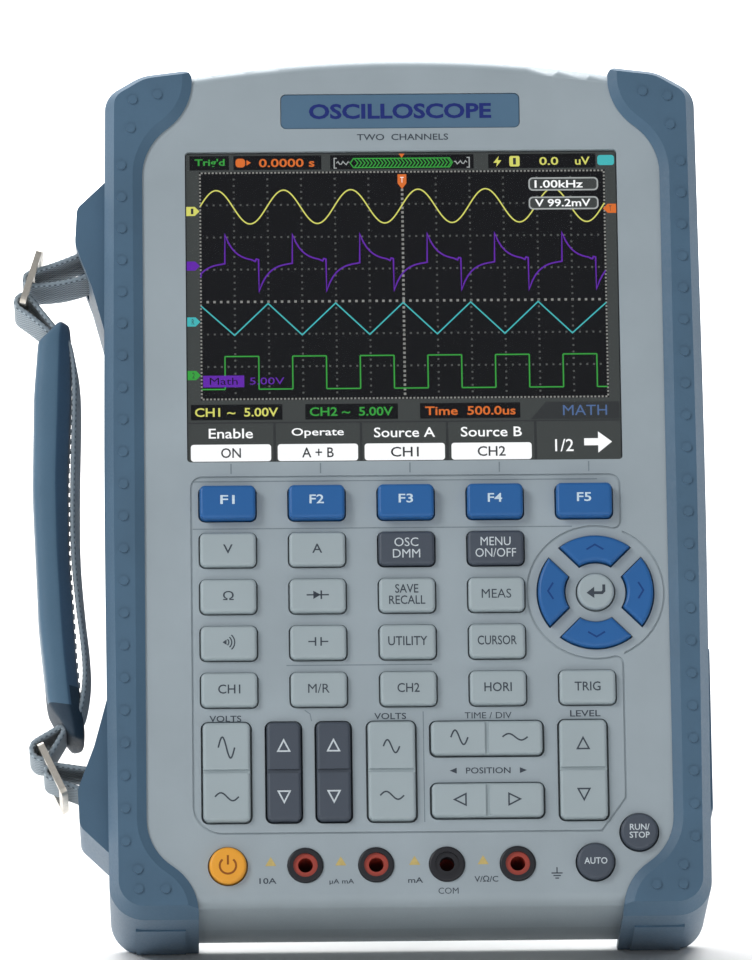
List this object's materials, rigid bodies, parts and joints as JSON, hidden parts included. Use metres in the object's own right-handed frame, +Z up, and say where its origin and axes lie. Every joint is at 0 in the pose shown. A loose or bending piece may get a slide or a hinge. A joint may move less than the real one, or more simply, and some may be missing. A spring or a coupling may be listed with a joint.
{
  "type": "handheld oscilloscope",
  "caption": "Handheld oscilloscope and multimeter with a colour display, a key field, bumpers, a padded hand strap and a folding stand, leaning back on the stand.",
  "frame": {"origin": "on the bench, under the middle of the bounding box", "axes": "+Z up, -Y towards the user, +X to the instrument's right as the user sees it; the instrument leans back 25 degrees on its open stand"},
  "size_m": [0.1886, 0.146, 0.2364],
  "materials": {
    "casing": "fine matt grain",
    "bumper": "soft-touch over-moulding",
    "plate": "printed",
    "display_glass": "clear window",
    "display": "unlit panel",
    "key_blue": "moulded rubber keys",
    "key_pale": "moulded rubber keys",
    "key_grey": "moulded rubber keys",
    "key_orange": "moulded rubber key",
    "silicone": "silicone",
    "board": "laminate",
    "battery": "wrapped",
    "steel": "zinc-plated",
    "nickel": "nickel-plated",
    "collar": "moulded",
    "insert_red": "moulded",
    "webbing": "woven",
    "grip": "padded"
  },
  "bodies": {
    "instrument": {"front_cover": "casing", "rear_cover": "casing", "left_bumper": "bumper", "right_bumper": "bumper", "name_plate": "plate", "display_window": "display_glass", "display_module": "display", "keypad_mat": "silicone", "main_board": "board", "battery_pack": "battery", "battery_door": "casing", "cover_screws": "steel", "coaxial_sockets": "nickel", "jack_sockets": "collar", "jack_inserts": "insert_red"},
    "stand": {"stand": "casing"},
    "port_door": {"port_door": "bumper"},
    "upper_strap_loop": {"upper_strap_loop": "webbing"},
    "hand_grip": {"hand_grip": "grip", "strap_lining": "webbing", "upper_slider": "nickel"},
    "lower_strap_loop": {"lower_strap_loop": "webbing"},
    "lower_slider": {"lower_slider": "nickel"},
    "key_f1": {"key_f1": "key_blue"},
    "key_f2": {"key_f2": "key_blue"},
    "key_f3": {"key_f3": "key_blue"},
    "key_f4": {"key_f4": "key_blue"},
    "key_f5": {"key_f5": "key_blue"},
    "key_volts": {"key_volts": "key_pale"},
    "key_amps": {"key_amps": "key_pale"},
    "key_scope_meter": {"key_scope_meter": "key_grey"},
    "key_menu": {"key_menu": "key_grey"},
    "key_ohms": {"key_ohms": "key_pale"},
    "key_diode": {"key_diode": "key_pale"},
    "key_save_recall": {"key_save_recall": "key_pale"},
    "key_measure": {"key_measure": "key_pale"},
    "key_continuity": {"key_continuity": "key_pale"},
    "key_capacitance": {"key_capacitance": "key_pale"},
    "key_utility": {"key_utility": "key_pale"},
    "key_cursor": {"key_cursor": "key_pale"},
    "key_channel_1": {"key_channel_1": "key_pale"},
    "key_math_reference": {"key_math_reference": "key_pale"},
    "key_channel_2": {"key_channel_2": "key_pale"},
    "key_horizontal": {"key_horizontal": "key_pale"},
    "key_trigger": {"key_trigger": "key_pale"},
    "key_power": {"key_power": "key_orange"},
    "key_auto": {"key_auto": "key_grey"},
    "key_run_stop": {"key_run_stop": "key_grey"},
    "key_enter": {"key_enter": "key_pale"},
    "key_up": {"key_up": "key_blue"},
    "key_left": {"key_left": "key_blue"},
    "key_down": {"key_down": "key_blue"},
    "key_right": {"key_right": "key_blue"},
    "rocker_volts_1": {"rocker_volts_1": "key_pale"},
    "rocker_position_1": {"rocker_position_1": "key_grey"},
    "rocker_position_2": {"rocker_position_2": "key_grey"},
    "rocker_volts_2": {"rocker_volts_2": "key_pale"},
    "rocker_time": {"rocker_time": "key_pale"},
    "rocker_shift": {"rocker_shift": "key_pale"},
    "rocker_level": {"rocker_level": "key_pale"}
  },
  "joints": [
    {"name": "key_f1_press", "type": "slide", "parent": "instrument", "child": "key_f1", "axis": [0, 0.9063, -0.4226], "range_m": [0, 0.001], "stiffness_N_per_m": 900},
    {"name": "key_f2_press", "type": "slide", "parent": "instrument", "child": "key_f2", "axis": [0, 0.9063, -0.4226], "range_m": [0, 0.001], "stiffness_N_per_m": 900},
    {"name": "key_f3_press", "type": "slide", "parent": "instrument", "child": "key_f3", "axis": [0, 0.9063, -0.4226], "range_m": [0, 0.001], "stiffness_N_per_m": 900},
    {"name": "key_f4_press", "type": "slide", "parent": "instrument", "child": "key_f4", "axis": [0, 0.9063, -0.4226], "range_m": [0, 0.001], "stiffness_N_per_m": 900},
    {"name": "key_f5_press", "type": "slide", "parent": "instrument", "child": "key_f5", "axis": [0, 0.9063, -0.4226], "range_m": [0, 0.001], "stiffness_N_per_m": 900},
    {"name": "key_volts_press", "type": "slide", "parent": "instrument", "child": "key_volts", "axis": [0, 0.9063, -0.4226], "range_m": [0, 0.001], "stiffness_N_per_m": 900},
    {"name": "key_amps_press", "type": "slide", "parent": "instrument", "child": "key_amps", "axis": [0, 0.9063, -0.4226], "range_m": [0, 0.001], "stiffness_N_per_m": 900},
    {"name": "key_scope_meter_press", "type": "slide", "parent": "instrument", "child": "key_scope_meter", "axis": [0, 0.9063, -0.4226], "range_m": [0, 0.001], "stiffness_N_per_m": 900},
    {"name": "key_menu_press", "type": "slide", "parent": "instrument", "child": "key_menu", "axis": [0, 0.9063, -0.4226], "range_m": [0, 0.001], "stiffness_N_per_m": 900},
    {"name": "key_ohms_press", "type": "slide", "parent": "instrument", "child": "key_ohms", "axis": [0, 0.9063, -0.4226], "range_m": [0, 0.001], "stiffness_N_per_m": 900},
    {"name": "key_diode_press", "type": "slide", "parent": "instrument", "child": "key_diode", "axis": [0, 0.9063, -0.4226], "range_m": [0, 0.001], "stiffness_N_per_m": 900},
    {"name": "key_save_recall_press", "type": "slide", "parent": "instrument", "child": "key_save_recall", "axis": [0, 0.9063, -0.4226], "range_m": [0, 0.001], "stiffness_N_per_m": 900},
    {"name": "key_measure_press", "type": "slide", "parent": "instrument", "child": "key_measure", "axis": [0, 0.9063, -0.4226], "range_m": [0, 0.001], "stiffness_N_per_m": 900},
    {"name": "key_continuity_press", "type": "slide", "parent": "instrument", "child": "key_continuity", "axis": [0, 0.9063, -0.4226], "range_m": [0, 0.001], "stiffness_N_per_m": 900},
    {"name": "key_capacitance_press", "type": "slide", "parent": "instrument", "child": "key_capacitance", "axis": [0, 0.9063, -0.4226], "range_m": [0, 0.001], "stiffness_N_per_m": 900},
    {"name": "key_utility_press", "type": "slide", "parent": "instrument", "child": "key_utility", "axis": [0, 0.9063, -0.4226], "range_m": [0, 0.001], "stiffness_N_per_m": 900},
    {"name": "key_cursor_press", "type": "slide", "parent": "instrument", "child": "key_cursor", "axis": [0, 0.9063, -0.4226], "range_m": [0, 0.001], "stiffness_N_per_m": 900},
    {"name": "key_channel_1_press", "type": "slide", "parent": "instrument", "child": "key_channel_1", "axis": [0, 0.9063, -0.4226], "range_m": [0, 0.001], "stiffness_N_per_m": 900},
    {"name": "key_math_reference_press", "type": "slide", "parent": "instrument", "child": "key_math_reference", "axis": [0, 0.9063, -0.4226], "range_m": [0, 0.001], "stiffness_N_per_m": 900},
    {"name": "key_channel_2_press", "type": "slide", "parent": "instrument", "child": "key_channel_2", "axis": [0, 0.9063, -0.4226], "range_m": [0, 0.001], "stiffness_N_per_m": 900},
    {"name": "key_horizontal_press", "type": "slide", "parent": "instrument", "child": "key_horizontal", "axis": [0, 0.9063, -0.4226], "range_m": [0, 0.001], "stiffness_N_per_m": 900},
    {"name": "key_trigger_press", "type": "slide", "parent": "instrument", "child": "key_trigger", "axis": [0, 0.9063, -0.4226], "range_m": [0, 0.001], "stiffness_N_per_m": 900},
    {"name": "key_power_press", "type": "slide", "parent": "instrument", "child": "key_power", "axis": [0, 0.9063, -0.4226], "range_m": [0, 0.001], "stiffness_N_per_m": 900},
    {"name": "key_auto_press", "type": "slide", "parent": "instrument", "child": "key_auto", "axis": [0, 0.9063, -0.4226], "range_m": [0, 0.001], "stiffness_N_per_m": 900},
    {"name": "key_run_stop_press", "type": "slide", "parent": "instrument", "child": "key_run_stop", "axis": [0, 0.9063, -0.4226], "range_m": [0, 0.001], "stiffness_N_per_m": 900},
    {"name": "key_enter_press", "type": "slide", "parent": "instrument", "child": "key_enter", "axis": [0, 0.9063, -0.4226], "range_m": [0, 0.001], "stiffness_N_per_m": 900},
    {"name": "key_up_press", "type": "slide", "parent": "instrument", "child": "key_up", "axis": [0, 0.9063, -0.4226], "range_m": [0, 0.001], "stiffness_N_per_m": 900},
    {"name": "key_left_press", "type": "slide", "parent": "instrument", "child": "key_left", "axis": [0, 0.9063, -0.4226], "range_m": [0, 0.001], "stiffness_N_per_m": 900},
    {"name": "key_down_press", "type": "slide", "parent": "instrument", "child": "key_down", "axis": [0, 0.9063, -0.4226], "range_m": [0, 0.001], "stiffness_N_per_m": 900},
    {"name": "key_right_press", "type": "slide", "parent": "instrument", "child": "key_right", "axis": [0, 0.9063, -0.4226], "range_m": [0, 0.001], "stiffness_N_per_m": 900},
    {"name": "rocker_volts_1_tip", "type": "hinge", "parent": "instrument", "child": "rocker_volts_1", "pos_m": [-0.03717, -0.05179, 0.0529], "axis": [1, 0, 0], "range_deg": [-2.5, 2.5], "stiffness_Nm_per_rad": 0.4},
    {"name": "rocker_position_1_tip", "type": "hinge", "parent": "instrument", "child": "rocker_position_1", "pos_m": [-0.02177, -0.05179, 0.0529], "axis": [1, 0, 0], "range_deg": [-2.5, 2.5], "stiffness_Nm_per_rad": 0.4},
    {"name": "rocker_position_2_tip", "type": "hinge", "parent": "instrument", "child": "rocker_position_2", "pos_m": [-0.00837, -0.05179, 0.0529], "axis": [1, 0, 0], "range_deg": [-2.5, 2.5], "stiffness_Nm_per_rad": 0.4},
    {"name": "rocker_volts_2_tip", "type": "hinge", "parent": "instrument", "child": "rocker_volts_2", "pos_m": [0.00723, -0.05179, 0.0529], "axis": [1, 0, 0], "range_deg": [-2.5, 2.5], "stiffness_Nm_per_rad": 0.4},
    {"name": "rocker_time_tip", "type": "hinge", "parent": "instrument", "child": "rocker_time", "pos_m": [0.03293, -0.04803, 0.06096], "axis": [0, 0.4226, 0.9063], "range_deg": [-2.5, 2.5], "stiffness_Nm_per_rad": 0.4},
    {"name": "rocker_shift_tip", "type": "hinge", "parent": "instrument", "child": "rocker_shift", "pos_m": [0.03293, -0.0553, 0.04537], "axis": [0, 0.4226, 0.9063], "range_deg": [-2.5, 2.5], "stiffness_Nm_per_rad": 0.4},
    {"name": "rocker_level_tip", "type": "hinge", "parent": "instrument", "child": "rocker_level", "pos_m": [0.05883, -0.05179, 0.0529], "axis": [1, 0, 0], "range_deg": [-2.5, 2.5], "stiffness_Nm_per_rad": 0.4},
    {"name": "stand_hinge", "type": "hinge", "parent": "instrument", "child": "stand", "pos_m": [0.01203, 0.02052, 0.11142], "axis": [1, 0, 0], "range_deg": [-38, 0]},
    {"name": "port_door_hinge", "type": "hinge", "parent": "instrument", "child": "port_door", "pos_m": [0.09403, -0.01639, 0.0525], "axis": [0, 0.4226, 0.9063], "range_deg": [0, 100]},
    {"name": "upper_strap_swing", "type": "hinge", "parent": "instrument", "child": "upper_strap_loop", "pos_m": [-0.07237, 0.02877, 0.17929], "axis": [0, 0.9063, -0.4226], "range_deg": [-12, 5.5]},
    {"name": "hand_grip_swing", "type": "hinge", "parent": "upper_strap_loop", "child": "hand_grip", "pos_m": [-0.08937, 0.02675, 0.17494], "axis": [0, 0.9063, -0.4226], "range_deg": [-6, 13]},
    {"name": "lower_strap_swing", "type": "hinge", "parent": "instrument", "child": "lower_strap_loop", "pos_m": [-0.07237, -0.03335, 0.04606], "axis": [0, 0.9063, -0.4226], "range_deg": [-17.5, 8]},
    {"name": "lower_slider_swing", "type": "hinge", "parent": "lower_strap_loop", "child": "lower_slider", "pos_m": [-0.08417, -0.032, 0.04896], "axis": [0, 0.9063, -0.4226], "range_deg": [-8.5, 18.3]}
  ],
  "couplings": [
    {"joint": "hand_grip_swing", "follows": "upper_strap_swing", "ratio": -1.068},
    {"joint": "lower_strap_swing", "follows": "upper_strap_swing", "ratio": 1.441},
    {"joint": "lower_slider_swing", "follows": "upper_strap_swing", "ratio": -1.509}
  ]
}
